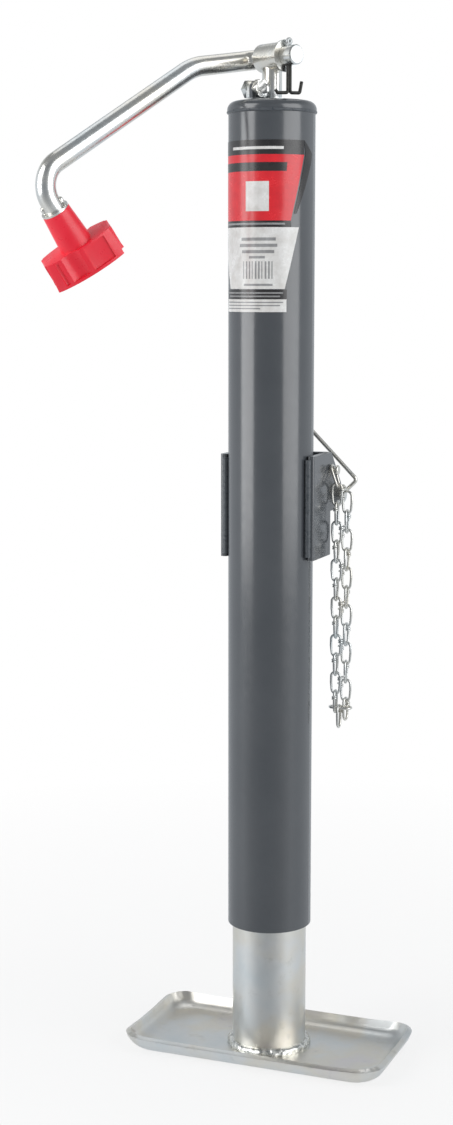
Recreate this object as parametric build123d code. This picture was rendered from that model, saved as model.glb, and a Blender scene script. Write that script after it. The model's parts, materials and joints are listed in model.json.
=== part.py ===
from build123d import *
import math
import os

# Round tongue jack, top crank, retracted. Millimetres.
# Origin: centre of the foot's sole, on the axis of the tubes. +Z up,
# +X along the foot, +Y towards the mounting bracket.

# Tubes
outer_od = 57.15
outer_wall = 2.9
inner_od = 50.8
inner_wall = 3.2
outer_bottom_z = 92.0
outer_top_z = 640.0
inner_top_z = 596.0
travel = 381.0

# Foot
foot_length = 188.0
foot_width = 97.0
foot_height = 11.0
foot_sheet = 3.6
foot_flare = 5.0
foot_corner = 12.0
foot_weld_r = 4.2

# Cap, welded on the outer tube
cap_over = 0.72
cap_height = 7.0
cap_edge = 5.5
cap_spigot = 8.0
spigot_gap = 0.15
cap_weld_r = 1.1

# Screw, its collar and thrust bearing
screw_d = 19.05
shank_step = 1.585
shank_gap = 0.1
race_inside = 4.7
race_t = 3.6
groove_depth = 0.5
ball_d = 5.55
ball_count = 12
ball_gap = 0.02
cage_t = 2.4
collar_inside = 6.7
collar_h = 10.0
collar_pin_d = 4.8
nut_h = 30.0
nut_below_top = 6.0
nut_gap = 0.1
thread_gap = 0.1
nut_pin_d = 8.0
nut_pin_hold = 3.8
stop_inside = 3.2
stop_t = 4.0
stop_pin_d = 4.8
stop_run_out = 12.0

# Drive hub and lug on top of the screw, and the crank's upright
hub_wall = 3.06
hub_t = 1.2
hub_lift = 0.3
upright_d = 13.0
journal_rise = 28.0
sleeve_wall = 2.77
sleeve_back = 9.0
sleeve_front = 12.0
lug_out = 6.06
lug_width = 11.0
lug_rise = 11.1
lug_t = 3.0
lug_bolt_rise = 5.7
bolt_d = 6.0
bolt_head_af = 11.0
bolt_head_h = 4.2
bolt_gap = 0.1
nut_t = 4.5

# Crank, folding about the journal
crank_heading = -28.4
rod_d = 12.7
journal_gap = 0.08
journal_reach = 24.3
elbow_r = 10.6
elbow_gap = 0.4
near_run = 50.0
near_drop = 7.7
far_run = 123.8
far_drop = 73.8
bend_r = 40.0
grip_bend_r = 17.0
grip_lean = 37.2
grip_start = 25.0
grip_rod_length = 36.0
washer_t = 1.5
washer_wall = 3.82
washer_gap = 0.25
cotter_d = 4.4
cotter_out = 0.65
cotter_hole_gap = 0.1
cotter_drop = 23.5
cotter_head_r = 2.5
cotter_closed = 0.85

# Grip
grip_wall = 2.55
hub_taper = 1.85
grip_hub_length = 24.5
knob_over = 13.15
knob_length = 19.0
knob_flutes = 6
flute_r = 9.0
flute_bite = 2.6
grip_gap = 0.1
grip_washer_t = 1.2
recess_over = 2.0
recess_depth = 12.5
clip_t = 1.6
clip_wall = 3.15

# Bracket behind the tube, with its two ears
plate_t = 4.8
bracket_bottom_z = 346.5
bracket_top_z = 416.0
bracket_front_y = -8.0
bracket_bend = 8.0
bracket_edge = 1.6
ear_pin_back = 7.125
ear_pin_z = 387.0
ear_wall = 4.15
weld_r = 2.2
rivet_front = 15.0
rivet_z = 404.5
rivet_d = 3.6
rivet_gap = 0.05
rivet_stand = 4.7
rivet_head_r = 3.4
rivet_head_t = 1.6

# Pull pin, its wire bail and chain
pin_d = 12.7
pin_gap = 0.1
pin_right = 5.4
pin_left = 7.0
bail_wire_d = 2.8
bail_rise = 12.6
bail_open = 45.0
bail_pivot_out = 2.3
bail_gap = 0.1
bail_end_gap = 1.0
bail_bend_r = 2.4
chain_wire_d = 1.9
link_length = 17.0
link_width = 8.6
link_pitch = 13.0
link_play = 0.1
links_down = 12
first_out = 2.4
near_out = 5.0
far_out = 11.0
strand_gap = 2.05
middle_drop = 4.4
far_strand_drop = 5.6

# Label on the front of the tube
label_bottom_z = 510.0
label_top_z = 621.0
label_t = 0.3
label_heading = 5.0
label_half_angle = 72.0

# Worked out from the above
outer_id = outer_od - 2 * outer_wall
cap_od = outer_od + 2 * cap_over
inner_id = inner_od - 2 * inner_wall
race_od = outer_id - 2 * race_inside
shank_d = screw_d - 2 * shank_step
ball_circle = (race_od + shank_d) / 2 + shank_gap
collar_od = outer_id - 2 * collar_inside
stop_od = inner_id - 2 * stop_inside
cap_top_z = outer_top_z + cap_height
upper_race_z = outer_top_z - cap_spigot - race_t
ball_z = upper_race_z + groove_depth - ball_gap - ball_d / 2
lower_race_z = ball_z - ball_d / 2 + groove_depth - ball_gap - race_t
collar_z = lower_race_z - collar_h
nut_z = inner_top_z - nut_below_top - nut_h
stop_z = nut_z - travel - stop_t - stop_run_out
screw_bottom_z = stop_z - stop_t - 2 * stop_pin_d
hub_od = shank_d + 2 * hub_wall
hub_z = cap_top_z + hub_lift
hub_top_z = hub_z + hub_t
journal_z = cap_top_z + journal_rise
lug_z = hub_top_z + lug_bolt_rise
side_x = outer_od / 2 + plate_t
back_y = outer_od / 2 + plate_t
ear_pin_y = back_y + ear_pin_back
rivet_y = ear_pin_y - rivet_front
ear_r = pin_d / 2 + pin_gap + ear_wall
near_x = side_x + near_out
far_x = side_x + far_out
sleeve_od = rod_d + 2 * journal_gap + 2 * sleeve_wall
washer_od = rod_d + 2 * journal_gap + 2 * washer_wall
hub_top_d = rod_d + 2 * grip_gap + 2 * grip_wall
hub_base_d = hub_top_d + 2 * hub_taper
knob_d = hub_base_d + 2 * knob_over
recess_d = hub_top_d + 2 * recess_over
clip_od = rod_d + 2 * clip_wall
cotter_x = sleeve_front + washer_gap + washer_t + cotter_d / 2 + cotter_out
arm_offset = sleeve_back + elbow_gap + elbow_r
lug_offset = shank_d / 2 + lug_out
crank_turn = Location((0, 0, 0), (0, 0, crank_heading))


def tube(od, bore, bottom, top):
    outside = Cylinder(od / 2, top - bottom)
    return Pos(0, 0, (bottom + top) / 2) * (outside - Cylinder(bore / 2, 2 * (top - bottom)))


def rod(d, bottom, top):
    return Pos(0, 0, (bottom + top) / 2) * Cylinder(d / 2, top - bottom)


def rod_x(d, low, high, y, z):
    return Pos((low + high) / 2, y, z) * Rot(0, 90, 0) * Cylinder(d / 2, high - low)


def swept(points, d, radii):
    path = FilletPolyline(*points, radius=radii)
    start = Plane(path @ 0, z_dir=path % 0)
    return sweep(start * Circle(d / 2), path=path)


def torus_at(z, ring_radius, wire_radius):
    return Pos(0, 0, z) * Torus(ring_radius, wire_radius)


def hex_x(across_flats, low, high, y, z):
    flat = RegularPolygon(across_flats / 2, 6, major_radius=False)
    body = extrude(flat, amount=high - low)
    return Pos(low, y, z) * Rot(0, 90, 0) * Rot(0, 0, 30) * body


def outer_tube():
    return tube(outer_od, outer_id, outer_bottom_z, outer_top_z)


def top_cap():
    plate = rod(cap_od, outer_top_z, cap_top_z)
    plate = fillet(plate.edges().group_by(Axis.Z)[-1], cap_edge)
    spigot = rod(outer_id - 2 * spigot_gap, outer_top_z - cap_spigot, outer_top_z)
    bore = rod(shank_d + 2 * shank_gap, 0, 2 * cap_top_z)
    return plate + spigot - bore


def cap_weld():
    bead = torus_at(outer_top_z, outer_od / 2, cap_weld_r)
    return bead - outer_tube() - top_cap()


def race(bottom, groove_z):
    ring = tube(race_od, shank_d + 2 * shank_gap, bottom, bottom + race_t)
    return ring - torus_at(groove_z, ball_circle / 2, ball_d / 2 + ball_gap)


def upper_race():
    return race(upper_race_z, ball_z)


def lower_race():
    return race(lower_race_z, ball_z)


def bearing_balls():
    ball = Sphere(ball_d / 2)
    return [Pos(0, 0, ball_z) * loc * ball for loc in PolarLocations(ball_circle / 2, ball_count)]


def ball_cage():
    ring = Cylinder(race_od / 2, cage_t) - Cylinder(shank_d / 2 + 4 * shank_gap, 2 * cage_t)
    for loc in PolarLocations(ball_circle / 2, ball_count):
        ring -= loc * Sphere(ball_d / 2 + ball_gap)
    return Pos(0, 0, ball_z) * ring


def lead_screw():
    shank = rod(shank_d, collar_z, hub_top_z)
    thread = rod(screw_d, screw_bottom_z, collar_z)
    screw = shank + thread
    screw = chamfer(screw.edges().group_by(Axis.Z)[0], 1.5)
    screw -= rod_x(collar_pin_d, -collar_od, collar_od, 0, collar_z + collar_h / 2)
    return screw - rod_x(stop_pin_d, -stop_od, stop_od, 0, stop_z - stop_pin_d / 2)


def screw_collar():
    ring = tube(collar_od, shank_d, collar_z, lower_race_z)
    return ring - rod_x(collar_pin_d, -collar_od, collar_od, 0, collar_z + collar_h / 2)


def collar_pin():
    return rod_x(collar_pin_d, -collar_od / 2, collar_od / 2, 0, collar_z + collar_h / 2)


def stop_washer():
    return tube(stop_od, screw_d + 2 * shank_gap, stop_z, stop_z + stop_t)


def stop_pin():
    return rod_x(stop_pin_d, -screw_d * 0.8, screw_d * 0.8, 0, stop_z - stop_pin_d / 2)


def drive_nut():
    body = tube(inner_id - 2 * nut_gap, screw_d + 2 * thread_gap, nut_z, nut_z + nut_h)
    body = chamfer(body.edges().group_by(Axis.Z)[-1].filter_by(GeomType.CIRCLE), 1)
    return body - nut_pin_solid(1) - nut_pin_solid(-1)


def nut_pin_solid(side):
    inner_end = inner_id / 2 - nut_pin_hold
    low, high = sorted((side * inner_end, side * (inner_od / 2 - 0.6)))
    return rod_x(nut_pin_d, low, high, 0, nut_z + nut_h / 2)


def nut_pins():
    return [nut_pin_solid(1), nut_pin_solid(-1)]


def inner_tube():
    body = tube(inner_od, inner_id, foot_sheet, inner_top_z)
    return body - nut_pin_solid(1) - nut_pin_solid(-1)


def pan(length, width, height, corner):
    flare = math.degrees(math.atan(foot_flare / foot_height))
    sole = RectangleRounded(length, width, corner)
    return extrude(sole, amount=height, taper=-flare)


def foot_plate():
    length = foot_length - 2 * foot_flare
    width = foot_width - 2 * foot_flare
    corner = foot_corner - foot_flare
    flare_angle = math.atan(foot_flare / foot_height)
    wall = foot_sheet / math.cos(flare_angle) - foot_sheet * math.tan(flare_angle)
    outside = pan(length, width, foot_height, corner)
    inside = pan(length - 2 * wall, width - 2 * wall, 2 * foot_height, corner - wall)
    plate = outside - Pos(0, 0, foot_sheet) * inside
    sole_edges = plate.edges().group_by(Axis.Z)[0]
    return fillet(sole_edges, 1.2)


def foot_weld():
    bead = torus_at(foot_sheet, inner_od / 2, foot_weld_r)
    return bead - rod(inner_od, 0, 2 * foot_height) - rod(2 * inner_od, -foot_height, foot_sheet)


def drive_hub():
    return tube(hub_od, shank_d, hub_z, hub_top_z)


def lug_outline(inset):
    half = lug_width / 2 - inset
    top = Pos(0, hub_top_z + lug_rise - lug_width / 2) * Circle(half)
    foot_z = (hub_top_z + hub_top_z + lug_rise - lug_width / 2) / 2
    shaft = Pos(0, foot_z) * Rectangle(2 * half, lug_rise - lug_width / 2)
    return top + shaft


def lug_plate(low_x):
    sheet = extrude(lug_outline(0), amount=lug_t)
    upright = Plane((low_x, -lug_offset, 0), x_dir=(0, 1, 0), z_dir=(1, 0, 0)) * sheet
    return upright - rod_x(bolt_d + 2 * bolt_gap, low_x - 1, low_x + lug_t + 1, -lug_offset, lug_z)


def drive_lug():
    foot_y = -lug_offset
    flange = Pos(lug_t / 2, foot_y / 2 - hub_od / 4, (hub_z + hub_top_z) / 2)
    foot = flange * Box(lug_t, lug_offset + lug_width / 2 - hub_od / 2, hub_t)
    lug = lug_plate(0) + foot
    return crank_turn * (lug - drive_hub())


def crank_upright():
    stem = rod(upright_d, hub_top_z, journal_z)
    web = Pos(-lug_t / 2, -lug_offset / 2, lug_z) * Box(lug_t, lug_offset, lug_width * 0.55)
    foot = stem + web + lug_plate(-lug_t)
    sleeve = rod_x(sleeve_od, -sleeve_back, sleeve_front, 0, journal_z)
    body = foot - rod_x(bolt_d + 2 * bolt_gap, -lug_t - 1, 1, -lug_offset, lug_z) + sleeve
    body -= rod_x(rod_d + 2 * journal_gap, -sleeve_od, sleeve_od, 0, journal_z)
    return crank_turn * body


def lug_bolt():
    head_x = lug_t
    head = hex_x(bolt_head_af, head_x, head_x + bolt_head_h, -lug_offset, lug_z)
    shank = rod_x(bolt_d, -lug_t - nut_t - 1.5, head_x, -lug_offset, lug_z)
    return crank_turn * (head + shank)


def lug_nut():
    body = hex_x(bolt_head_af, -lug_t - nut_t, -lug_t, -lug_offset, lug_z)
    return crank_turn * (body - rod_x(bolt_d, -lug_t - 2 * nut_t, 0, -lug_offset, lug_z))


def crank_points():
    lean = math.radians(grip_lean)
    near = (-arm_offset, -near_run, journal_z - near_drop)
    far = (-arm_offset, -near_run - far_run, journal_z - near_drop - far_drop)
    reach = grip_start + grip_rod_length
    end = (-arm_offset, far[1] + reach * math.sin(lean), far[2] - reach * math.cos(lean))
    return [(journal_reach, 0, journal_z), (-arm_offset, 0, journal_z), near, far, end]


def grip_frame():
    lean = math.radians(grip_lean)
    along = Vector(0, math.sin(lean), -math.cos(lean))
    corner = Vector(*crank_points()[3])
    start = corner + along * grip_start
    return crank_turn * Plane(origin=start, x_dir=(1, 0, 0), z_dir=along).location


def cotter_hole():
    span = rod_d
    hole_d = cotter_d + 2 * cotter_hole_gap
    return Pos(cotter_x, 0, journal_z) * Cylinder(hole_d / 2, 2 * span)


def crank_rod():
    radii = [elbow_r, bend_r, grip_bend_r]
    bar = swept(crank_points(), rod_d, radii)
    bar = chamfer(bar.edges().filter_by(GeomType.CIRCLE).group_by(Axis.X)[-1], 0.8)
    return crank_turn * (bar - cotter_hole())


def journal_washer():
    low = sleeve_front + washer_gap
    ring = rod_x(washer_od, low, low + washer_t, 0, journal_z)
    return crank_turn * (ring - rod_x(rod_d + 2 * journal_gap, 0, 2 * low, 0, journal_z))


def cotter_leg(side):
    half = cotter_d / 2
    wire_r = cotter_d / 4
    y = side * wire_r * cotter_closed
    top = journal_z + rod_d / 2 + wire_r
    low = journal_z - cotter_drop
    bend = (cotter_x, y, low)
    if side < 0:
        tip = [bend, (cotter_x, -4.4 * half, low - 0.6), (cotter_x, -5.2 * half, low + 1.2)]
    else:
        tip = [bend, (cotter_x, 4.2 * half, low + 0.4), (cotter_x, 5.0 * half, low + 7.6)]
    radii = [wire_r * 1.6, wire_r * 1.2]
    return swept([(cotter_x, y, top)] + tip, 2 * wire_r, radii)


def cotter_pin():
    wire_r = cotter_d / 4
    eye_z = journal_z + rod_d / 2 + cotter_head_r
    eye = Pos(cotter_x, 0, eye_z) * Rot(0, 90, 0) * Torus(cotter_head_r - wire_r, wire_r)
    return crank_turn * (eye + cotter_leg(-1) + cotter_leg(1))


def grip_washer():
    ring = Cylinder(hub_top_d / 2, grip_washer_t) - Cylinder(rod_d / 2, 2 * grip_washer_t)
    return grip_frame() * Pos(0, 0, -grip_washer_t / 2 - grip_gap) * ring


def grip_body():
    hub_r = hub_top_d / 2
    base_r = hub_base_d / 2
    knob_r = knob_d / 2
    top = grip_hub_length
    end = grip_hub_length + knob_length
    outline = Polyline(
        (0, 0),
        (hub_r, 0),
        (base_r, top),
        (knob_r - 2, top),
        (knob_r, top + 2.5),
        (knob_r, end - 3),
        (knob_r - 3, end),
        (0, end),
        close=True,
    )
    return revolve(Plane.XZ * make_face(outline), Axis.Z)


def grip_knob():
    body = grip_body()
    middle = grip_hub_length + knob_length / 2
    for loc in PolarLocations(knob_d / 2 + flute_r - flute_bite, knob_flutes):
        body -= Pos(0, 0, middle + 2) * loc * Cylinder(flute_r, knob_length + 4)
    end = grip_hub_length + knob_length
    body -= Pos(0, 0, end - recess_depth / 2) * Cylinder(recess_d / 2, recess_depth)
    body -= Cylinder(rod_d / 2 + grip_gap, 4 * end)
    return grip_frame() * body


def grip_clip():
    seat = grip_hub_length + knob_length - recess_depth + clip_t / 2 + washer_gap
    ring = Cylinder(clip_od / 2, clip_t) - Cylinder(rod_d / 2, 2 * clip_t)
    return grip_frame() * Pos(0, 0, seat) * ring


def ear_outline():
    top_start = (0, bracket_top_z)
    low_start = (0, ear_pin_z - ear_r)
    tip = Pos(ear_pin_y, ear_pin_z) * Circle(ear_r)
    to_pin = math.hypot(ear_pin_y - outer_od / 2, bracket_top_z - ear_pin_z)
    heading = math.atan2(bracket_top_z - ear_pin_z, outer_od / 2 - ear_pin_y)
    touch = heading - math.acos(ear_r / to_pin)
    edge = (ear_pin_y + ear_r * math.cos(touch), ear_pin_z + ear_r * math.sin(touch))
    slope = Polyline(
        top_start,
        (outer_od / 2, bracket_top_z),
        edge,
        (ear_pin_y, ear_pin_z),
        (ear_pin_y, ear_pin_z - ear_r),
        low_start,
        close=True,
    )
    return make_face(slope) + tip


def mount_bracket():
    height = bracket_top_z - bracket_bottom_z
    depth = back_y - bracket_front_y
    block = Box(2 * side_x, depth, height)
    block = fillet(block.edges().filter_by(Axis.Z).group_by(Axis.Y)[-1], bracket_bend)
    block = Pos(0, (back_y + bracket_front_y) / 2, (bracket_top_z + bracket_bottom_z) / 2) * block
    inner = Box(outer_od, depth + plate_t, 2 * height)
    inner = fillet(inner.edges().filter_by(Axis.Z).group_by(Axis.Y)[-1], bracket_bend - plate_t)
    inner_y = outer_od / 2 - (depth + plate_t) / 2
    saddle = block - Pos(0, inner_y, (bracket_top_z + bracket_bottom_z) / 2) * inner
    for side in (-1, 1):
        saddle += ear_plate(side)
    saddle -= rod_x(pin_d + 2 * pin_gap, -2 * side_x, 2 * side_x, ear_pin_y, ear_pin_z)
    saddle -= rod_x(rivet_d + 2 * rivet_gap, 0, 2 * side_x, rivet_y, rivet_z)
    front = saddle.edges().filter_by(Axis.Z).group_by(Axis.Y)[0]
    return fillet(front, bracket_edge)


def ear_plate(side):
    low_x = outer_od / 2 if side > 0 else -side_x
    sheet = extrude(ear_outline(), amount=plate_t)
    upright = Plane((low_x, 0, 0), x_dir=(0, 1, 0), z_dir=(1, 0, 0)) * sheet
    trim = Pos(0, outer_od / 2 - bracket_bend, 0)
    behind = Box(4 * side_x, 200, 4 * bracket_top_z, align=(Align.CENTER, Align.MIN, Align.CENTER))
    return upright & (trim * behind)


def bracket_welds():
    bead_z = (bracket_bottom_z + bracket_top_z) / 2
    length = bracket_top_z - bracket_bottom_z - 2 * weld_r
    beads = []
    for side in (-1, 1):
        place = Pos(side * (outer_od / 2 + weld_r / 3), bracket_front_y, bead_z)
        bead = place * Cylinder(weld_r, length)
        beads.append(bead - rod(outer_od, 0, outer_top_z) - mount_bracket())
    return beads


def pull_pin():
    low = -side_x - pin_left
    high = side_x + pin_right
    body = rod_x(pin_d, low, high, ear_pin_y, ear_pin_z)
    body = chamfer(body.edges().filter_by(GeomType.CIRCLE).group_by(Axis.X)[0], 2)
    body = chamfer(body.edges().filter_by(GeomType.CIRCLE).group_by(Axis.X)[-1], 0.8)
    hole = Cylinder(bail_wire_d / 2 + bail_gap, 3 * pin_d)
    across = Location((side_x + bail_pivot_out, ear_pin_y, ear_pin_z), (90, 0, 0))
    return body - across * hole


def bail_points():
    opened = math.radians(bail_open)
    pivot = Vector(side_x + bail_pivot_out, ear_pin_y, ear_pin_z)
    back = Vector(0, 1, 0)
    arm = Vector(math.sin(opened), 0, math.cos(opened))
    reach = Vector(-math.cos(opened), 0, math.sin(opened))
    span = 2 * side_x + bail_pivot_out + pin_left + bail_end_gap + bail_wire_d / 2
    tail = pivot - back * (pin_d / 2 - bail_gap)
    side = pivot + back * (pin_d / 2 + bail_wire_d)
    corner = side + arm * bail_rise
    far = corner + reach * span
    hook = far - arm * bail_rise
    return [tail, side, corner, far, hook, hook - back * pin_d]


def pin_bail():
    return swept(bail_points(), bail_wire_d, [bail_bend_r] * 4)


def chain_link(x, y, z, quarter, lean=0):
    straight = link_length - link_width
    path_r = (link_width - chain_wire_d) / 2
    half = Torus(path_r, chain_wire_d / 2)
    link = Part()
    for end in (-1, 1):
        bow = Rot(90, 0, 0) * half & Pos(0, 0, end * link_width) * Box(*[2 * link_width] * 3)
        link += Pos(0, 0, end * straight / 2) * bow
        link += Pos(end * path_r, 0, 0) * Cylinder(chain_wire_d / 2, straight)
    return Pos(x, y, z) * Rot(0, lean, 0) * Rot(0, 0, quarter) * link


def chain_links():
    # The first link hangs on the rivet's shank and leans out to clear the ear.
    straight = link_length - link_width
    reach = (link_width - chain_wire_d) / 2
    first_x = side_x + first_out
    tilt = math.asin((near_x - first_x) / straight)
    first_z = rivet_z - straight / 2 * math.cos(tilt)
    place = ((near_x + first_x) / 2, rivet_y, first_z, 90, -math.degrees(tilt))
    links = [chain_link(*place)]
    low_wire = rivet_z - (straight + reach) * math.cos(tilt)
    top_z = low_wire + chain_wire_d + link_play - straight / 2 - reach * math.cos(tilt)
    far_y = rivet_y + 2 * strand_gap
    for i in range(links_down):
        z = top_z - i * link_pitch
        links.append(chain_link(near_x, rivet_y, z, 90 * (i % 2)))
        links.append(chain_link(far_x, far_y, z - far_strand_drop, 90 * (i % 2)))
    middle_z = top_z - (links_down - 1) * link_pitch - middle_drop
    middle = Pos((near_x + far_x) / 2, rivet_y + strand_gap, middle_z)
    links.append(middle * Rot(90, 0, 0) * Rot(0, 90, 0) * chain_link(0, 0, 0, 0))
    end_z = middle_z + chain_wire_d + link_play - straight / 2 - reach
    links.append(chain_link((near_x + far_x) / 2, rivet_y + strand_gap - reach, end_z, 90))
    return links


def chain_rivet():
    shank = rod_x(rivet_d, outer_od / 2, side_x + rivet_stand, rivet_y, rivet_z)
    head_x = side_x + rivet_stand
    head = rod_x(2 * rivet_head_r, head_x, head_x + rivet_head_t, rivet_y, rivet_z)
    head = fillet(head.edges().filter_by(GeomType.CIRCLE).group_by(Axis.X)[-1], 0.9)
    return shank + head


def label():
    sleeve = tube(outer_od + 2 * label_t, outer_od, label_bottom_z, label_top_z)
    points = [(0, 0)]
    for step in (-1, -0.5, 0, 0.5, 1):
        angle = math.radians(label_heading + step * label_half_angle)
        points.append((2 * outer_od * math.sin(angle), -2 * outer_od * math.cos(angle)))
    wedge = extrude(make_face(Polyline(*points, close=True)), amount=outer_top_z)
    return sleeve & wedge


pieces = {
    "outer_tube": outer_tube,
    "top_cap": top_cap,
    "cap_weld": cap_weld,
    "upper_race": upper_race,
    "lower_race": lower_race,
    "bearing_balls": bearing_balls,
    "ball_cage": ball_cage,
    "lead_screw": lead_screw,
    "screw_collar": screw_collar,
    "collar_pin": collar_pin,
    "stop_washer": stop_washer,
    "stop_pin": stop_pin,
    "drive_nut": drive_nut,
    "nut_pins": nut_pins,
    "inner_tube": inner_tube,
    "foot_plate": foot_plate,
    "foot_weld": foot_weld,
    "drive_hub": drive_hub,
    "drive_lug": drive_lug,
    "crank_upright": crank_upright,
    "lug_bolt": lug_bolt,
    "lug_nut": lug_nut,
    "crank_rod": crank_rod,
    "journal_washer": journal_washer,
    "cotter_pin": cotter_pin,
    "grip_washer": grip_washer,
    "grip_knob": grip_knob,
    "grip_clip": grip_clip,
    "mount_bracket": mount_bracket,
    "bracket_welds": bracket_welds,
    "pull_pin": pull_pin,
    "pin_bail": pin_bail,
    "chain_links": chain_links,
    "chain_rivet": chain_rivet,
    "label": label,
}

os.makedirs("parts", exist_ok=True)
for name, make in pieces.items():
    made = make()
    if isinstance(made, list):
        made = Compound(children=[solid for shape in made for solid in shape.solids()])
    export_step(made, f"parts/{name}.step")
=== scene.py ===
import json
import math
import bmesh
import bpy
from mathutils import Matrix, Vector


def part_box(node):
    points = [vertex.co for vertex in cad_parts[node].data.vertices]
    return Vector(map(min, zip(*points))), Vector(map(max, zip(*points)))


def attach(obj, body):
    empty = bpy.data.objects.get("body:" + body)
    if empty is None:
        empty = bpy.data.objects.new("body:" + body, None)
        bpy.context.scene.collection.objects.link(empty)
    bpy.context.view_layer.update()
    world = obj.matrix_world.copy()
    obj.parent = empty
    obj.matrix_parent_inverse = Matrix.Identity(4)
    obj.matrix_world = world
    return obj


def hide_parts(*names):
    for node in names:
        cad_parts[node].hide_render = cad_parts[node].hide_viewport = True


# Round tongue jack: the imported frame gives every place, in metres.
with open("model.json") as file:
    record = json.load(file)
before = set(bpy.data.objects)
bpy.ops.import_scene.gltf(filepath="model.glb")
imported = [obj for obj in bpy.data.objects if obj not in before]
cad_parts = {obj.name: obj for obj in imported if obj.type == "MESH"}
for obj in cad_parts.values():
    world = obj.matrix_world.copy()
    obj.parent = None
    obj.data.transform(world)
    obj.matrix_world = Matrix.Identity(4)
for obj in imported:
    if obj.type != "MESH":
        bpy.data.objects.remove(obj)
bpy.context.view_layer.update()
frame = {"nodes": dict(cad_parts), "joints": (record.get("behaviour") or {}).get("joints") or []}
nodes = frame["nodes"]
joints = {joint["name"]: joint for joint in frame["joints"]}
mm = 0.001


def clearSelection():
    active = bpy.context.view_layer.objects.active
    if active and active.mode != "OBJECT":
        bpy.ops.object.mode_set(mode="OBJECT")
    bpy.ops.object.select_all(action="DESELECT")


def selectOnly(piece):
    clearSelection()
    piece.select_set(True)
    bpy.context.view_layer.objects.active = piece


def named(name):
    piece = bpy.context.active_object
    piece.name = name
    piece.data.name = name
    return piece


def settle(piece):
    selectOnly(piece)
    bpy.ops.object.transform_apply(location=True, rotation=True, scale=True)
    return piece


def addCylinder(name, radius, low, high, x=0, y=0, sides=64, topRadius=None):
    clearSelection()
    middle = (x * mm, y * mm, (low + high) / 2 * mm)
    bpy.ops.mesh.primitive_cone_add(
        vertices=sides, radius1=radius * mm, depth=(high - low) * mm, location=middle,
        radius2=(radius if topRadius is None else topRadius) * mm)
    return settle(named(name))


def addBox(name, size, middle, turn=0):
    clearSelection()
    bpy.ops.mesh.primitive_cube_add(size=1, location=[part * mm for part in middle],
                                    rotation=(0, 0, math.radians(turn)),
                                    scale=[part * mm for part in size])
    return settle(named(name))


def addRing(name, ringRadius, wireRadius, around=64, across=16, middle=(0, 0, 0), turn=(0, 0, 0)):
    clearSelection()
    bpy.ops.mesh.primitive_torus_add(
        major_radius=ringRadius * mm, minor_radius=wireRadius * mm, major_segments=around,
        minor_segments=across, location=[part * mm for part in middle],
        rotation=[math.radians(part) for part in turn])
    return settle(named(name))


def openEdit(piece):
    selectOnly(piece)
    bpy.ops.object.mode_set(mode="EDIT")


def pick(kind, test):
    bpy.ops.mesh.select_mode(type=kind)
    bpy.ops.mesh.select_all(action="DESELECT")
    data = bpy.context.edit_object.data
    shape = bmesh.from_edit_mesh(data)
    parts = {"VERT": shape.verts, "EDGE": shape.edges, "FACE": shape.faces}[kind]
    for part in parts:
        corners = [part] if kind == "VERT" else part.verts
        middle = sum((corner.co for corner in corners), Vector()) / len(corners)
        if test(middle, part):
            part.select_set(True)
    bmesh.update_edit_mesh(data)


def closeEdit():
    bpy.ops.mesh.select_all(action="SELECT")
    bpy.ops.mesh.remove_doubles(threshold=0.002 * mm)
    bpy.ops.mesh.normals_make_consistent(inside=False)
    bpy.ops.object.mode_set(mode="OBJECT")


def useModifier(piece, kind, **settings):
    selectOnly(piece)
    modifier = piece.modifiers.new(kind.title(), kind)
    for key, value in settings.items():
        setattr(modifier, key, value)
    bpy.ops.object.modifier_apply(modifier=modifier.name)
    return piece


def combine(piece, tool, way):
    useModifier(piece, "BOOLEAN", object=tool, operation=way, solver="EXACT")
    bpy.data.objects.remove(tool)
    return piece


def joined(name, parts):
    clearSelection()
    for part in parts:
        part.select_set(True)
    bpy.context.view_layer.objects.active = parts[0]
    bpy.ops.object.join()
    return named(name)


def copied(piece):
    selectOnly(piece)
    bpy.ops.object.duplicate(linked=False)
    return bpy.context.active_object


def place(piece, matrix):
    piece.matrix_world = matrix @ piece.matrix_world
    return settle(piece)


def finish(piece, body, slotName, finishes, stands=(), angle=35):
    settle(piece)
    bpy.ops.object.shade_smooth_by_angle(angle=math.radians(angle))
    if finishes:
        piece.data.materials.clear()
        for item in finishes:
            piece.data.materials.append(item)
    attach(piece, body)
    if stands:
        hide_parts(*stands)
    return piece


def newFinish(name):
    finish = bpy.data.materials.new(name)
    finish.use_nodes = True
    tree = finish.node_tree
    shader = tree.nodes["Principled BSDF"]
    place = tree.nodes.new("ShaderNodeTexCoord")
    return finish, tree, shader, place.outputs["Object"]


def stretched(tree, place, scale):
    mapping = tree.nodes.new("ShaderNodeMapping")
    mapping.inputs["Scale"].default_value = scale
    tree.links.new(place, mapping.inputs["Vector"])
    return mapping.outputs["Vector"]


def noise(tree, place, scale, detail=4, rough=0.55):
    texture = tree.nodes.new("ShaderNodeTexNoise")
    texture.inputs["Scale"].default_value = scale
    texture.inputs["Detail"].default_value = detail
    texture.inputs["Roughness"].default_value = rough
    tree.links.new(place, texture.inputs["Vector"])
    return texture.outputs["Fac"]


def ramp(tree, source, stops):
    node = tree.nodes.new("ShaderNodeValToRGB")
    node.color_ramp.elements[0].position = stops[0][0]
    node.color_ramp.elements[1].position = stops[-1][0]
    for spot, _ in stops[1:-1]:
        node.color_ramp.elements.new(spot)
    for element, (_, colour) in zip(node.color_ramp.elements, stops):
        element.color = (*colour, 1)
    tree.links.new(source, node.inputs["Fac"])
    return node.outputs["Color"]


def levels(tree, source, fromLow, fromHigh, low, high):
    node = tree.nodes.new("ShaderNodeMapRange")
    for key, value in (("From Min", fromLow), ("From Max", fromHigh), ("To Min", low), ("To Max", high)):
        node.inputs[key].default_value = value
    tree.links.new(source, node.inputs["Value"])
    return node.outputs["Result"]


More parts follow.
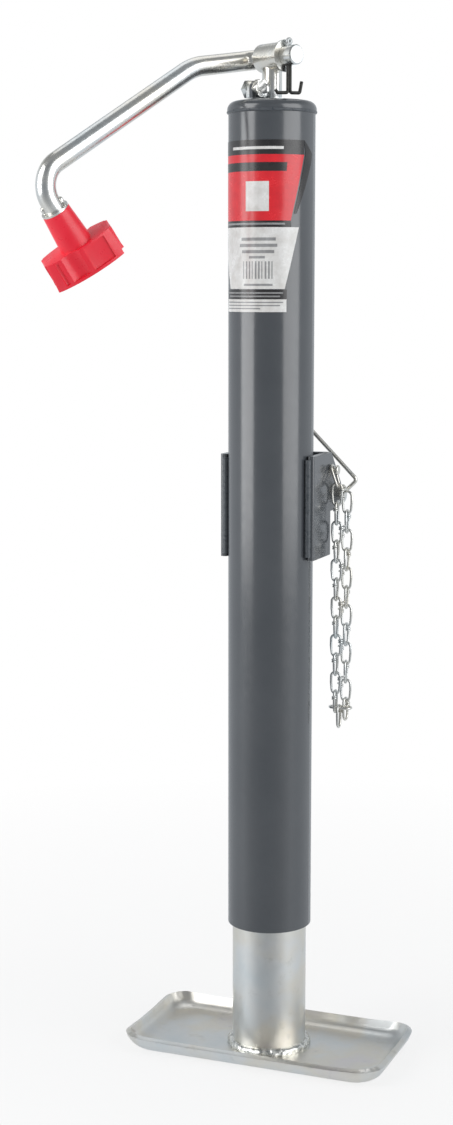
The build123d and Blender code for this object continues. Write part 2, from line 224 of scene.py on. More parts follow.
def blended(tree, share, first, second):
    node = tree.nodes.new("ShaderNodeMix")
    node.data_type = "RGBA"
    for socket, value in ((node.inputs[0], share), (node.inputs[6], first), (node.inputs[7], second)):
        if isinstance(value, bpy.types.NodeSocket):
            tree.links.new(value, socket)
        else:
            socket.default_value = value if socket == node.inputs[0] else (*value, 1)
    return node.outputs[2]


def bumped(tree, shader, layers):
    normal = None
    for source, distance, strength in layers:
        node = tree.nodes.new("ShaderNodeBump")
        node.inputs["Distance"].default_value = distance * mm
        node.inputs["Strength"].default_value = strength
        tree.links.new(source, node.inputs["Height"])
        if normal:
            tree.links.new(normal, node.inputs["Normal"])
        normal = node.outputs["Normal"]
    tree.links.new(normal, shader.inputs["Normal"])


# Grey satin paint: slight orange peel, faint clouding, a few pale rubbed streaks.
paintLook = {"dark": (0.058, 0.064, 0.072), "pale": (0.074, 0.080, 0.088), "paler": (0.17, 0.18, 0.19),
             "roughness": (0.15, 0.22), "peel": 420, "cloud": 14}


def makePaint():
    look = paintLook
    finish, tree, shader, place = newFinish("greyPaint")
    cloud = noise(tree, place, look["cloud"], 5)
    colour = ramp(tree, cloud, [(0.3, look["dark"]), (0.7, look["pale"])])
    streak = noise(tree, stretched(tree, place, (150, 150, 9)), 1.0, 6, 0.7)
    paler = levels(tree, streak, 0.70, 0.78, 0, 0.30)
    colour = blended(tree, paler, colour, look["paler"])
    tree.links.new(colour, shader.inputs["Base Color"])
    fine = noise(tree, place, 180, 3)
    tree.links.new(levels(tree, fine, 0.3, 0.7, *look["roughness"]), shader.inputs["Roughness"])
    shader.inputs["Specular IOR Level"].default_value = 1.0
    peel = noise(tree, place, look["peel"], 2)
    bumped(tree, shader, [(peel, 0.05, 0.25), (cloud, 0.5, 0.10)])
    return finish


# Bright zinc plate: passivated, so it drifts between cool grey, straw and a hint of pink.
zincLook = {"cool": (0.72, 0.76, 0.77), "plain": (0.78, 0.79, 0.78), "straw": (0.80, 0.77, 0.70),
            "pink": (0.78, 0.75, 0.74), "roughness": (0.19, 0.29), "drift": 22, "grain": 700}


def makeZinc(name="brightZinc", tint=1.0, extra=0.0, drawn=(160, 160, 12)):
    look = zincLook
    finish, tree, shader, place = newFinish(name)
    drift = noise(tree, place, look["drift"], 3)
    stops = [(0.30, look["cool"]), (0.45, look["plain"]), (0.58, look["straw"]), (0.72, look["pink"])]
    colour = ramp(tree, drift, [(spot, tuple(part * tint for part in shade)) for spot, shade in stops])
    blotch = noise(tree, place, 90, 6, 0.65)
    dull = levels(tree, blotch, 0.58, 0.75, 0, 0.35)
    colour = blended(tree, dull, colour, (0.42 * tint, 0.44 * tint, 0.42 * tint))
    tree.links.new(colour, shader.inputs["Base Color"])
    shader.inputs["Metallic"].default_value = 1
    low, high = look["roughness"]
    fine = noise(tree, place, 260, 4)
    tree.links.new(levels(tree, fine, 0.3, 0.7, low + extra, high + extra), shader.inputs["Roughness"])
    lines = noise(tree, stretched(tree, place, drawn), 6.0, 4, 0.6)
    grain = noise(tree, place, look["grain"], 3)
    bumped(tree, shader, [(lines, 0.05, 0.12), (grain, 0.02, 0.12), (blotch, 0.15, 0.04)])
    return finish


# Turned steel inside the jack: rings left by the tool.
def makeSteel():
    finish, tree, shader, place = newFinish("turnedSteel")
    rings = noise(tree, stretched(tree, place, (1, 1, 600)), 2.0, 2)
    tree.links.new(ramp(tree, rings, [(0.3, (0.36, 0.36, 0.37)), (0.7, (0.55, 0.55, 0.54))]),
                   shader.inputs["Base Color"])
    shader.inputs["Metallic"].default_value = 1
    tree.links.new(levels(tree, rings, 0.3, 0.7, 0.22, 0.4), shader.inputs["Roughness"])
    bumped(tree, shader, [(rings, 0.08, 0.3)])
    return finish


# Weld metal: rippled and pitted; plated on the foot, painted on the housing.
def makeWeld(name, dark, pale, metallic, roughness):
    finish, tree, shader, place = newFinish(name)
    ripple = noise(tree, place, 320, 5, 0.6)
    cells = tree.nodes.new("ShaderNodeTexVoronoi")
    cells.inputs["Scale"].default_value = 420
    tree.links.new(place, cells.inputs["Vector"])
    tree.links.new(ramp(tree, ripple, [(0.32, dark), (0.6, pale)]), shader.inputs["Base Color"])
    shader.inputs["Metallic"].default_value = metallic
    tree.links.new(levels(tree, ripple, 0.3, 0.7, *roughness), shader.inputs["Roughness"])
    bumped(tree, shader, [(ripple, 0.5, 0.6), (cells.outputs["Distance"], 0.25, 0.35)])
    return finish


# Blackened wire of the cotter, turning paler grey near its top.
wireLook = {"dark": (0.018, 0.018, 0.017), "worn": (0.07, 0.068, 0.06), "paler": (0.50, 0.52, 0.52),
            "paleFrom": 11, "paleFull": 9}   # both below the cotter's top


def makeBlackWire():
    look = wireLook
    finish, tree, shader, place = newFinish("blackWire")
    worn = noise(tree, place, 500, 4)
    colour = ramp(tree, worn, [(0.35, look["dark"]), (0.75, look["worn"])])
    height = tree.nodes.new("ShaderNodeSeparateXYZ")
    tree.links.new(place, height.inputs[0])
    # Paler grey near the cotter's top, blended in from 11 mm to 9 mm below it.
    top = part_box("cotter_pin")[1][2]
    paler = levels(tree, height.outputs["Z"], top - look["paleFrom"] * mm,
                    top - look["paleFull"] * mm, 0, 1)
    tree.links.new(blended(tree, paler, colour, look["paler"]), shader.inputs["Base Color"])
    shader.inputs["Metallic"].default_value = 0.6
    tree.links.new(levels(tree, worn, 0.3, 0.7, 0.28, 0.5), shader.inputs["Roughness"])
    bumped(tree, shader, [(worn, 0.05, 0.3)])
    return finish


# Moulded red plastic with a soft gloss and faint flow marks.
def makeRed():
    finish, tree, shader, place = newFinish("redPlastic")
    flow = noise(tree, stretched(tree, place, (40, 40, 14)), 1.4, 4)
    colour = ramp(tree, flow, [(0.3, (0.84, 0.012, 0.032)), (0.7, (0.93, 0.026, 0.052))])
    scuff = noise(tree, place, 240, 6, 0.7)
    colour = blended(tree, levels(tree, scuff, 0.66, 0.76, 0, 0.25), colour, (0.9, 0.2, 0.22))
    tree.links.new(colour, shader.inputs["Base Color"])
    tree.links.new(levels(tree, scuff, 0.3, 0.7, 0.24, 0.40), shader.inputs["Roughness"])
    shader.inputs["Specular IOR Level"].default_value = 0.6
    skin = noise(tree, place, 900, 2)
    bumped(tree, shader, [(skin, 0.03, 0.25), (flow, 0.3, 0.1)])
    return finish


# Printed film of the label: plain colours under a thin gloss, a little soiled.
def makeFilm(name, colour, soiled):
    finish, tree, shader, place = newFinish(name)
    dirt = noise(tree, place, 120, 6, 0.65)
    tree.links.new(ramp(tree, dirt, [(0.35, soiled), (0.6, colour)]), shader.inputs["Base Color"])
    tree.links.new(levels(tree, dirt, 0.3, 0.7, 0.20, 0.30), shader.inputs["Roughness"])
    shader.inputs["Specular IOR Level"].default_value = 0.7
    weave = noise(tree, place, 260, 3)
    bumped(tree, shader, [(weave, 0.05, 0.2)])
    return finish


# Brass of the bearing's cage.
def makeCage():
    finish, tree, shader, place = newFinish("pressedCage")
    tone = noise(tree, place, 160, 4)
    tree.links.new(ramp(tree, tone, [(0.3, (0.50, 0.36, 0.14)), (0.7, (0.72, 0.55, 0.26))]),
                   shader.inputs["Base Color"])
    shader.inputs["Metallic"].default_value = 1
    tree.links.new(levels(tree, tone, 0.3, 0.7, 0.25, 0.4), shader.inputs["Roughness"])
    bumped(tree, shader, [(tone, 0.05, 0.3)])
    return finish


greyPaint = makePaint()
brightZinc = makeZinc()
rolledZinc = makeZinc("rolledZinc", 0.95, 0.12, (40, 300, 300))
wireZinc = makeZinc("wireZinc", 0.95, 0.02, (300, 300, 300))
turnedSteel = makeSteel()
platedWeld = makeWeld("platedWeld", (0.45, 0.46, 0.44), (0.86, 0.86, 0.82), 1, (0.18, 0.36))
paintedWeld = makeWeld("paintedWeld", (0.058, 0.066, 0.075), (0.085, 0.094, 0.104), 0, (0.24, 0.36))
blackWire = makeBlackWire()
redPlastic = makeRed()
filmRed = makeFilm("filmRed", (0.78, 0.020, 0.030), (0.66, 0.016, 0.026))
filmBlack = makeFilm("filmBlack", (0.016, 0.015, 0.016), (0.03, 0.028, 0.028))
filmWhite = makeFilm("filmWhite", (0.80, 0.79, 0.77), (0.66, 0.64, 0.61))
filmGrey = makeFilm("filmGrey", (0.34, 0.34, 0.34), (0.24, 0.24, 0.24))
pressedCage = makeCage()

nodeFinish = {
    "outer_tube": greyPaint, "top_cap": greyPaint, "cap_weld": paintedWeld, "mount_bracket": greyPaint,
    "bracket_welds": paintedWeld, "drive_lug": greyPaint, "inner_tube": rolledZinc,
    "foot_plate": rolledZinc, "foot_weld": platedWeld, "drive_hub": brightZinc,
    "crank_upright": brightZinc, "crank_rod": brightZinc, "journal_washer": brightZinc,
    "grip_washer": brightZinc, "grip_clip": brightZinc, "cotter_pin": blackWire, "lug_bolt": brightZinc,
    "lug_nut": brightZinc, "pull_pin": brightZinc, "pin_bail": wireZinc, "chain_links": wireZinc,
    "chain_rivet": wireZinc, "grip_knob": redPlastic, "label": filmRed, "ball_cage": pressedCage,
}
for name, node in nodes.items():
    finishOf = nodeFinish.get(name, turnedSteel)
    if not node.data.materials:
        node.data.materials.append(finishOf)
    for i in range(len(node.data.materials)):
        node.data.materials[i] = finishOf
print("finishes on the frame's nodes")

# The crank's own directions, from its joints: x along the journal, z up.
journal = -Vector(joints["crank_fold"]["axis"])
crankFrame = Matrix((journal, Vector((0, 0, 1)).cross(journal), (0, 0, 1))).transposed().to_4x4()
gripAxis = Vector(joints["grip_spin"]["axis"])
gripFrame = Matrix((journal, gripAxis.cross(journal), gripAxis)).transposed().to_4x4()
gripFrame.translation = Vector(joints["grip_spin"]["pos_m"])

# Grip: a tapered hub under a wide handle with a bowed face, a scallop and a panel on each face.
grip = {"hubTop": 18.0, "hubBase": 21.7, "hubLength": 24.5, "handleTurn": -60, "handleHalf": 24.2,
        "handleDepth": 13.1, "bow": 30.0, "handleHeight": 19.0, "flare": 1.03, "narrow": 0.95,
        "corner": 2.6, "edge": 1.1, "bore": 12.9, "recess": 22.0, "recessDepth": 12.5,
        "scallopR": 9.5, "scallopAt": -7.8, "scallopDeep": 2.6, "rib": 1.5, "ribAt": -17.2,
        "panel": (2.0, 17.4), "panelDeep": 1.0, "panelDrop": 1.4, "notch": 3.2,
        "notchIn": 1.4, "notchBox": (6, 40), "rim": 1.8, "ribDrop": 1.6,
        "ribProud": 0.3, "endRound": 2.0, "past": 5}


def gripFace(across):   # how deep the bowed face stands at a place along the handle
    return grip["handleDepth"] * math.sqrt(1 - (across / grip["bow"]) ** 2)


def makeGrip():
    g = grip
    top, end = g["hubLength"], g["hubLength"] + g["handleHeight"]
    half = g["handleHalf"]
    handle = addCylinder("gripKnob", 1, top, end, sides=96)
    handle.scale = (g["bow"], g["handleDepth"], 1)
    settle(handle)
    openEdit(handle)
    for side in (-1, 1):
        bpy.ops.mesh.select_all(action="SELECT")
        bpy.ops.mesh.bisect(plane_co=(side * half * mm, 0, 0), plane_no=(side, 0, 0), use_fill=True,
                            clear_outer=True, clear_inner=False)
    pick("EDGE", lambda at, edge: abs(abs(at.x) - half * mm) < 0.05 * mm
         and abs(at.z - (top + end) / 2 * mm) < mm)
    bpy.ops.mesh.bevel(offset=g["corner"] * mm, segments=4, affect="EDGES")
    pick("EDGE", lambda at, edge: abs(at.x) > (half - 0.05) * mm
         and abs(abs(at.z - (top + end) / 2 * mm) - g["handleHeight"] / 2 * mm) < 0.05 * mm)
    bpy.ops.mesh.bevel(offset=g["endRound"] * mm, segments=4, affect="EDGES")
    for level, share in ((top, g["narrow"]), (end, g["flare"])):
        pick("VERT", lambda at, corner: abs(at.z - level * mm) < 0.1 * mm)
        bpy.ops.transform.resize(value=(share, 1, 1), center_override=(0, 0, level * mm))
    closeEdit()
    for turn in (0, 180):
        scallopY = gripFace(g["scallopAt"]) + g["scallopR"] - g["scallopDeep"]
        ribY = gripFace(g["ribAt"]) + g["ribProud"]
        cutters = [addCylinder("scallop", g["scallopR"], top - g["past"], end - g["rim"],
                               g["scallopAt"], scallopY),
                   addCylinder("ribGroove", g["rib"], top + g["ribDrop"], end - g["rim"],
                               g["ribAt"], ribY, 24)]
        near, far = g["panel"]
        faces = [gripFace(spot) for spot in g["panel"]]
        slope = math.degrees(math.atan2(faces[1] - faces[0], far - near))
        tall = g["handleHeight"] - g["rim"] - g["panelDrop"]
        panel = addBox("panel", (far - near, 4, tall),
                       ((near + far) / 2, (faces[0] + faces[1]) / 2 + 2 - g["panelDeep"],
                        top + g["panelDrop"] + tall / 2), slope)
        cutters.append(panel)
        if turn == 0:
            cutters.append(addBox("notch", (*g["notchBox"], g["notch"] * 2),
                                  (half + g["notchIn"], 0, end)))
        for cutter in cutters:
            cutter.rotation_euler = (0, 0, math.radians(turn))
            settle(cutter)
            combine(handle, cutter, "DIFFERENCE")
    handle.rotation_euler = (0, 0, math.radians(g["handleTurn"]))
    settle(handle)
    hub = addCylinder("hub", g["hubTop"] / 2, 0, top + 2, sides=96,
                      topRadius=g["hubBase"] / 2 + (g["hubBase"] - g["hubTop"]) / g["hubLength"])
    combine(handle, hub, "UNION")
    combine(handle, addCylinder("bore", g["bore"] / 2, -g["past"], end + g["past"]), "DIFFERENCE")
    combine(handle, addCylinder("recess", g["recess"] / 2, end - g["recessDepth"], end + g["past"]),
            "DIFFERENCE")
    useModifier(handle, "BEVEL", width=g["edge"] * mm, segments=4, limit_method="ANGLE",
                angle_limit=math.radians(40))
    return handle


gripKnob = place(makeGrip(), gripFrame)
finish(gripKnob, "grip", "red_plastic", [redPlastic], ["grip_knob"], 38)

# Pinched ears on the rod that hold the washer against the grip.
ears = {"span": 15.8, "thick": 4.4, "length": 5.0, "gap": 1.4, "round": 1.7}


def makeEars():
    e = ears
    low = -e["gap"] - e["length"]
    body = addBox("rodEars", (e["span"], e["thick"], e["length"]), (0, 0, low + e["length"] / 2),
                  grip["handleTurn"])
    openEdit(body)
    pick("EDGE", lambda at, edge: True)
    bpy.ops.mesh.bevel(offset=e["round"] * mm, segments=5, affect="EDGES")
    closeEdit()
    return body


rodEars = place(makeEars(), gripFrame)
finish(rodEars, "crank", "zinc", [brightZinc])
print("grip done")

# Hex bolt through the lug: a chamfered hex with a washer face, and its threaded shank.
bolt = {"flats": 11.0, "headX": 3.0, "headT": 4.2, "y": -14.0, "z": 654.2, "shank": 6.0,
        "tail": -9.0, "chamfer": 0.55, "dishIn": 1.2, "dish": 0.25, "pitch": 1.0, "thread": 0.32}


def makeBolt():
    b = bolt
    reach = b["flats"] / math.sqrt(3)
    head = addCylinder("hexBolt", reach, 0, b["headT"], sides=6)
    turned = addCylinder("turned", reach * 1.001, -1, b["headT"], sides=64)
    openEdit(turned)
    pick("EDGE", lambda at, edge: abs(at.z - b["headT"] * mm) < 0.01 * mm
         and at.xy.length > (reach - 0.2) * mm)
    bpy.ops.mesh.bevel(offset=b["chamfer"] * 1.6 * mm, segments=3, affect="EDGES")
    closeEdit()
    combine(head, turned, "INTERSECT")
    openEdit(head)
    pick("FACE", lambda at, face: at.z > (b["headT"] - 0.01) * mm and face.normal.z > 0.9)
    bpy.ops.mesh.inset(thickness=b["dishIn"] * mm)
    bpy.ops.transform.translate(value=(0, 0, -b["dish"] * mm))
    closeEdit()
    shank = addCylinder("shank", b["shank"] / 2, b["tail"] - b["headX"], 0.2, sides=32)
    openEdit(shank)
    turns = int((b["headX"] - b["tail"]) / b["pitch"]) - 3
    for i in range(turns * 2):
        level = (b["tail"] - b["headX"] + 0.5 + i * b["pitch"] / 2) * mm
        bpy.ops.mesh.select_all(action="SELECT")
        bpy.ops.mesh.bisect(plane_co=(0, 0, level), plane_no=(0, 0, 1))
        if i % 2:
            pick("VERT", lambda at, corner: abs(at.z - level) < 0.01 * mm)
            bpy.ops.transform.resize(value=(1 - b["thread"] / 3, 1 - b["thread"] / 3, 1),
                                     center_override=(0, 0, level))
    closeEdit()
    whole = joined("hexBolt", [head, shank])
    whole.rotation_euler = (0, math.pi / 2, 0)
    settle(whole)
    whole.location = (b["headX"] * mm, b["y"] * mm, b["z"] * mm)
    return settle(whole)


hexBolt = place(makeBolt(), crankFrame)
finish(hexBolt, "screw", "zinc", [brightZinc], ["lug_bolt"])
print("bolt done")

# Pan foot: pressed sheet with rounded bends, a flared rim and corners that kick up.
pan = {"length": 188.0, "width": 97.0, "height": 10.6, "sheet": 3.6, "flare": 5.0, "corner": 16.0,
       "bend": 8.0, "kick": 1.6, "kickReach": 34.0, "rings": 12,
       "cuts": 48, "crossCuts": 24, "rimRound": 1.2}


def makePan():
    p = pan
    shell = addBox("footPan", (p["length"], p["width"], p["height"]), (0, 0, p["height"] / 2))
    openEdit(shell)
    pick("FACE", lambda at, face: face.normal.z > 0.9)
    bpy.ops.mesh.delete(type="FACE")
    pick("VERT", lambda at, corner: at.z < 0.1 * mm)
    narrowed = (1 - 2 * p["flare"] / p["length"], 1 - 2 * p["flare"] / p["width"], 1)
    bpy.ops.transform.resize(value=narrowed, center_override=(0, 0, 0))
    pick("EDGE", lambda at, edge: abs(edge.verts[0].co.z - edge.verts[1].co.z) > mm)
    bpy.ops.mesh.bevel(offset=p["corner"] * mm, segments=10, affect="EDGES")
    pick("EDGE", lambda at, edge: max(edge.verts[0].co.z, edge.verts[1].co.z) < 0.1 * mm
         and any(face.normal.z > -0.9 for face in edge.link_faces))
    bpy.ops.mesh.bevel(offset=p["bend"] * mm, segments=6, affect="EDGES")
    for span, cuts, axis in ((p["length"], p["cuts"], Vector((1, 0, 0))),
                             (p["width"], p["crossCuts"], Vector((0, 1, 0)))):
        for step in range(1 - cuts // 2, cuts // 2):
            bpy.ops.mesh.select_all(action="SELECT")
            bpy.ops.mesh.bisect(plane_co=axis * (step * span / cuts * mm), plane_no=axis)
    reach, rings = p["kickReach"], p["rings"]
    for ring in range(rings):
        near = reach * (1 - ring / rings) * mm
        pick("VERT", lambda at, corner: at.z > (p["height"] - 0.3) * mm
             and (p["length"] / 2 * mm - abs(at.x)) + (p["width"] / 2 * mm - abs(at.y)) < near)
        bpy.ops.transform.translate(value=(0, 0, p["kick"] / rings * mm))
    closeEdit()
    useModifier(shell, "SOLIDIFY", thickness=p["sheet"] * mm, offset=-1, use_even_offset=True)
    useModifier(shell, "BEVEL", width=p["rimRound"] * mm, segments=3, limit_method="ANGLE",
                angle_limit=math.radians(50))
    return shell


footPan = makePan()
finish(footPan, "leg", "zinc", [rolledZinc], ["foot_plate"], 45)
print("foot done")

# Bead round the leg's base: lumpy, hand-run.
bead = {"ring": 25.2, "wire": 3.7, "z": 4.6, "lump": 1.9, "lumpSize": 5.0, "fine": 0.7, "fineSize": 2.0}


def addLumps(piece, size, strength):
    texture = bpy.data.textures.new("lumps", "CLOUDS")
    texture.noise_scale = size * mm
    texture.noise_depth = 2
    useModifier(piece, "DISPLACE", texture=texture, strength=strength * mm, mid_level=0.5,
                texture_coords="GLOBAL")


def makeBead():
    b = bead
    ring = addRing("footBead", b["ring"], b["wire"], 220, 28, (0, 0, b["z"]))
    addLumps(ring, b["lumpSize"], b["lump"])
    addLumps(ring, b["fineSize"], b["fine"])
    return ring


footBead = makeBead()
finish(footBead, "leg", "weld_bead", [platedWeld], ["foot_weld"], 60)
print("foot bead done")

# Chain: two strands of wire links, each closed by a wrapped knot with a cut tail. They meet in a
# cross link, and one more link hangs from that.
rivetLow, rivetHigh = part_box("chain_rivet")
chain = {"wire": 1.9, "length": 17.0, "width": 8.6, "pitch": 13.0, "count": 12, "play": 0.1,
         "plateOut": 4.8, "firstOut": 2.4, "nearOut": 5.0, "farOut": 11.0, "strandGap": 2.05,
         "farDrop": 5.6, "middleDrop": 4.4, "shown": 1.75, "knotWire": 1.25, "tail": 2.6,
         "sway": 7.0}


def makeLink(name):
    c = chain
    reach = (c["width"] - c["wire"]) / 2
    straight = c["length"] - c["width"]
    link = addRing(name, reach, c["shown"] / 2, 28, 10, turn=(90, 0, 0))
    openEdit(link)
    for side in (-1, 1):
        pick("VERT", lambda at, corner: side * at.z > 0.02 * mm)
        bpy.ops.transform.translate(value=(0, 0, side * straight / 2 * mm))
    pick("VERT", lambda at, corner: at.z < -straight / 2 * mm)
    bpy.ops.transform.resize(value=(0.88, 1, 1), center_override=(0, 0, 0))   # narrower at one end
    closeEdit()
    parts = [link]
    for lift in (-0.7, 0.6):
        parts.append(addRing("wrap", c["shown"] / 2 + c["knotWire"] / 2 - 0.3, c["knotWire"] / 2, 14, 8,
                             (reach, 0, straight / 2 - 1.0 + lift), (9, 0, 0)))
    tail = addCylinder("tail", c["knotWire"] / 2, 0, c["tail"], sides=8)
    tail.rotation_euler = (0, math.radians(68), math.radians(20))
    tail.location = ((reach + 0.2) * mm, -0.5 * mm, (straight / 2 - 0.4) * mm)
    parts.append(settle(tail))
    return joined(name, parts)


def makeChain():
    c = chain
    sideX = rivetLow.x / mm + c["plateOut"]
    rivetY, rivetZ = (rivetLow.y + rivetHigh.y) / 2 / mm, (rivetLow.z + rivetHigh.z) / 2 / mm
    straight = c["length"] - c["width"]
    reach = (c["width"] - c["wire"]) / 2
    firstX, nearX, farX = sideX + c["firstOut"], sideX + c["nearOut"], sideX + c["farOut"]
    tilt = math.asin((nearX - firstX) / straight)
    spots = [((nearX + firstX) / 2, rivetY, rivetZ - straight / 2 * math.cos(tilt), 90, -tilt)]
    lowWire = rivetZ - (straight + reach) * math.cos(tilt)
    topZ = lowWire + c["wire"] + c["play"] - straight / 2 - reach * math.cos(tilt)
    farY = rivetY + 2 * c["strandGap"]
    for i in range(c["count"]):
        z = topZ - i * c["pitch"]
        spots.append((nearX, rivetY, z, 90 * (i % 2), 0))
        spots.append((farX, farY, z - c["farDrop"], 90 * (i % 2), 0))
    middleZ = topZ - (c["count"] - 1) * c["pitch"] - c["middleDrop"]
    endZ = middleZ + c["wire"] + c["play"] - straight / 2 - reach
    middleX, middleY = (nearX + farX) / 2, rivetY + c["strandGap"]
    spots.append((middleX, middleY - reach, endZ, 90, 0))
    pattern = makeLink("chainLinks")
    links = []
    for i, (x, y, z, quarter, lean) in enumerate(spots):
        link = copied(pattern)
        flip = math.pi if i % 4 > 1 else 0
        sway = math.radians(c["sway"] * math.sin(2.3 * i)) if 1 < i < len(spots) - 1 else 0
        link.matrix_world = (Matrix.Translation((x * mm, y * mm, z * mm)) @ Matrix.Rotation(lean, 4, "Y")
                             @ Matrix.Rotation(math.radians(quarter) + flip + sway, 4, "Z"))
        links.append(settle(link))
    pattern.matrix_world = (Matrix.Translation((middleX * mm, middleY * mm, middleZ * mm))
                            @ Matrix.Rotation(math.pi / 2, 4, "X") @ Matrix.Rotation(math.pi / 2, 4, "Y"))
    links.append(settle(pattern))
    return joined("chainLinks", links)


chainLinks = makeChain()
finish(chainLinks, "chain", "zinc", [wireZinc], ["chain_links"], 60)
print("chain done:", len(chainLinks.data.polygons), "faces")

# Label: plain colour blocks cut flat and wrapped on the tube. Each block is
# (low z, high z, bottom left, bottom right, top left, top right, film, layer), edges in degrees.
labelSheet = {"radius": 28.575, "heading": 2.0, "film": 0.16, "gap": 0.02, "layer": 0.05, "step": 2.0}
labelBlocks = [
    (611.6, 620.8, -90.0, 65.2, -90.0, 65.2, filmBlack, 0),
    (569.6, 611.6, -67.0, 44.0, -86.0, 65.2, filmRed, 0),
    (612.5, 620.8, 68.0, 84.0, 65.2, 65.6, filmBlack, 1),
    (606.0, 612.5, 65.5, 80.5, 68.0, 84.0, filmBlack, 1),
    (574.0, 606.0, 48.6, 52.7, 65.5, 80.5, filmBlack, 1),
    (565.4, 569.6, -72.0, 45.0, -67.0, 44.0, filmBlack, 0),
    (525.8, 565.4, -50.0, 36.0, -76.0, 56.5, filmWhite, 0),
    (519.2, 525.4, -60.0, 39.0, -60.0, 39.0, filmBlack, 0),
    (511.0, 519.2, -60.5, 38.5, -60.5, 38.5, filmWhite, 0),
    (614.8, 616.6, -42.0, 34.0, -42.0, 34.0, filmWhite, 1),   # plain bars where print would be
    (601.0, 606.6, -66.0, 38.0, -68.0, 39.0, filmBlack, 1),
    (575.6, 594.6, -17.0, 15.0, -17.0, 15.0, filmWhite, 1),
    (567.0, 568.2, -62.0, 36.0, -62.0, 36.0, filmGrey, 1),
    (556.8, 558.8, -24.0, 24.0, -24.0, 24.0, filmGrey, 1),
    (552.8, 554.8, -27.0, 26.0, -27.0, 26.0, filmGrey, 1),
    (548.8, 550.8, -23.0, 22.0, -23.0, 22.0, filmGrey, 1),
    (545.4, 547.0, -12.0, 10.0, -12.0, 10.0, filmGrey, 1),
    (527.8, 529.2, -20.0, 20.0, -20.0, 20.0, filmGrey, 1),
    (522.8, 523.8, -56.0, 34.0, -56.0, 34.0, filmGrey, 1),
    (520.6, 521.6, -52.0, 30.0, -52.0, 30.0, filmGrey, 1),
    (516.8, 517.6, -57.0, 34.0, -57.0, 34.0, filmGrey, 1),
    (514.8, 515.6, -57.0, 30.0, -57.0, 30.0, filmGrey, 1),
    (512.8, 513.6, -57.0, 4.0, -57.0, 4.0, filmGrey, 1),
]
stripes = {"low": 532.4, "high": 543.6, "first": -21.0, "step": 4.4, "count": 10, "wide": 2.2}
for i in range(stripes["count"]):
    left = stripes["first"] + i * stripes["step"]
    right = left + stripes["wide"] * (1 if i % 3 else 0.6)
    labelBlocks.append((stripes["low"], stripes["high"], left, right, left, right, filmGrey, 1))


def makeLabel():
    s = labelSheet
    blocks = []
    films = []
    for low, high, leftLow, rightLow, leftTop, rightTop, film, layer in labelBlocks:
        clearSelection()
        across = max(4, int((max(rightLow, rightTop) - min(leftLow, leftTop)) / s["step"]))
        bpy.ops.mesh.primitive_grid_add(x_subdivisions=across, y_subdivisions=4, size=1)
        block = named("labelBlock")
        radius = s["radius"] + s["film"] / 2 + s["gap"] + layer * s["layer"]
        for corner in block.data.vertices:   # the flat block wraps round the tube
            up, along = corner.co.y + 0.5, corner.co.x + 0.5
            left = leftLow + (leftTop - leftLow) * up
            right = rightLow + (rightTop - rightLow) * up
            angle = math.radians(s["heading"] + left + (right - left) * along)
            corner.co = (radius * math.sin(angle) * mm, -radius * math.cos(angle) * mm,
                         (low + (high - low) * up) * mm)
        openEdit(block)
        closeEdit()
        useModifier(block, "SOLIDIFY", thickness=s["film"] * mm, offset=0)
        if film not in films:
            films.append(film)
        for item in films:
            block.data.materials.append(item)
        for face in block.data.polygons:
            face.material_index = films.index(film)
        blocks.append(block)
    return joined("frontLabel", blocks)


frontLabel = makeLabel()
finish(frontLabel, "housing", "label_film", None, ["label"], 30)
print("label done")

# Camera, soft boxes and a plain pale floor.
view = {"place": (0.4538, -1.2080, 0.5293), "down": 8.23, "turn": 21.91, "lens": 61.70, "film": 36.0}
softBoxes = [  # name, azimuth, distance, middle height, width, height, power, tilt target height
    ("leftBox", -46, 1.6, 1.00, 1.25, 1.9, 21, 0.55),
    ("rightBox", 76, 1.7, 1.00, 1.60, 1.9, 19, 0.55),
    ("topBox", 200, 0.9, 2.3, 1.6, 1.2, 5, 0.35),
]


def addCamera():
    data = bpy.data.cameras.new("camera")
    data.sensor_fit = "VERTICAL"
    data.sensor_height = view["film"]
    data.lens = view["lens"]
    data.clip_start = 0.05
    camera = bpy.data.objects.new("camera", data)
    camera.location = view["place"]
    camera.rotation_euler = (math.radians(90 - view["down"]), 0, math.radians(view["turn"]))
    bpy.context.scene.collection.objects.link(camera)
    bpy.context.scene.camera = camera


def addLights():
    for name, azimuth, distance, height, width, tall, power, aim in softBoxes:
        data = bpy.data.lights.new(name, "AREA")
        data.shape = "RECTANGLE"
        data.size, data.size_y = width, tall
        data.energy = power
        light = bpy.data.objects.new(name, data)
        turn = math.radians(azimuth)
        spot = Vector((distance * math.sin(turn), -distance * math.cos(turn), height))
        light.location = spot
        light.rotation_euler = (Vector((0, 0, aim)) - spot).to_track_quat("-Z", "Y").to_euler()
        bpy.context.scene.collection.objects.link(light)


# The room that gloss reflects: dim towards the front, lightest to the sides, fading overhead.
# The camera itself sees plain white.
roomLook = {"dimSide": 12, "strength": 1.7,
            "shades": [(0.0, (0.40, 0.42, 0.44)), (0.35, (0.46, 0.48, 0.50)),
                       (0.72, (0.26, 0.27, 0.28)), (1.0, (0.15, 0.16, 0.17))],
            "heights": [(0.0, (1.0, 1.0, 1.0)), (0.35, (1.0, 1.0, 1.0)), (0.75, (0.4, 0.4, 0.4))]}


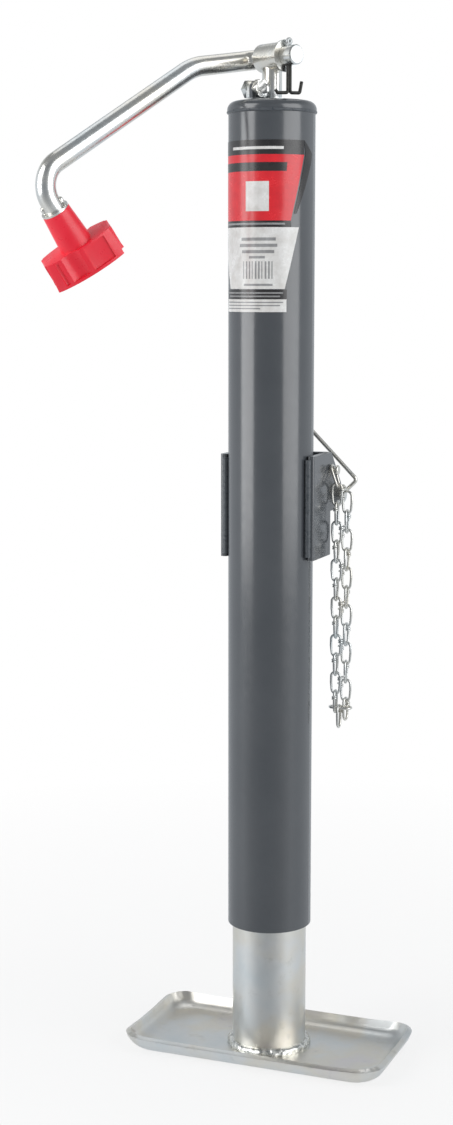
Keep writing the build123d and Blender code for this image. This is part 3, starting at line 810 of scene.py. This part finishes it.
def addWorld():
    world = bpy.data.worlds.new("studio")
    bpy.context.scene.world = world
    world.use_nodes = True
    tree = world.node_tree
    backdrop = tree.nodes["Background"]
    backdrop.inputs["Color"].default_value = (1, 1, 1, 1)
    backdrop.inputs["Strength"].default_value = 1.0
    room = tree.nodes.new("ShaderNodeBackground")
    room.inputs["Strength"].default_value = roomLook["strength"]
    place = tree.nodes.new("ShaderNodeTexCoord")
    facing = tree.nodes.new("ShaderNodeVectorMath")   # how far a direction points at the dim side
    facing.operation = "DOT_PRODUCT"
    turn = math.radians(roomLook["dimSide"])
    facing.inputs[1].default_value = (math.sin(turn), -math.cos(turn), 0)
    tree.links.new(place.outputs["Generated"], facing.inputs[0])
    shade = ramp(tree, facing.outputs["Value"], roomLook["shades"])
    height = tree.nodes.new("ShaderNodeSeparateXYZ")
    tree.links.new(place.outputs["Generated"], height.inputs[0])
    lift = ramp(tree, height.outputs["Z"], roomLook["heights"])
    scaled = tree.nodes.new("ShaderNodeVectorMath")
    scaled.operation = "MULTIPLY"
    tree.links.new(shade, scaled.inputs[0])
    tree.links.new(lift, scaled.inputs[1])
    tree.links.new(scaled.outputs["Vector"], room.inputs["Color"])
    path = tree.nodes.new("ShaderNodeLightPath")
    mix = tree.nodes.new("ShaderNodeMixShader")
    tree.links.new(path.outputs["Is Camera Ray"], mix.inputs[0])
    tree.links.new(room.outputs[0], mix.inputs[1])
    tree.links.new(backdrop.outputs[0], mix.inputs[2])
    tree.links.new(mix.outputs[0], tree.nodes["World Output"].inputs["Surface"])


floorLook = {"size": 8.0, "tone": 0.84, "drift": 0.02, "solid": 0.10, "clear": 0.75, "cover": 0.22}


def addFloor():
    clearSelection()
    bpy.ops.mesh.primitive_plane_add(size=floorLook["size"], location=(0, 0, -0.05 * mm))
    floor = settle(named("floor"))
    finish, tree, shader, place = newFinish("paleFloor")
    tone = noise(tree, place, 3.0, 3)
    shades = [(spot, (floorLook["tone"] + drift,) * 3)
              for spot, drift in ((0.3, -floorLook["drift"]), (0.7, floorLook["drift"]))]
    tree.links.new(ramp(tree, tone, shades), shader.inputs["Base Color"])
    shader.inputs["Roughness"].default_value = 0.7
    away = tree.nodes.new("ShaderNodeVectorMath")   # melts into the backdrop away from the jack
    away.operation = "LENGTH"
    tree.links.new(place, away.inputs[0])
    fade = levels(tree, away.outputs["Value"], floorLook["solid"], floorLook["clear"],
                  floorLook["cover"], 0)
    tree.links.new(fade, shader.inputs["Alpha"])
    floor.data.materials.append(finish)


addCamera()
addLights()
addWorld()
addFloor()
bpy.context.scene.view_settings.view_transform = "Standard"
print("camera, lights and floor done")
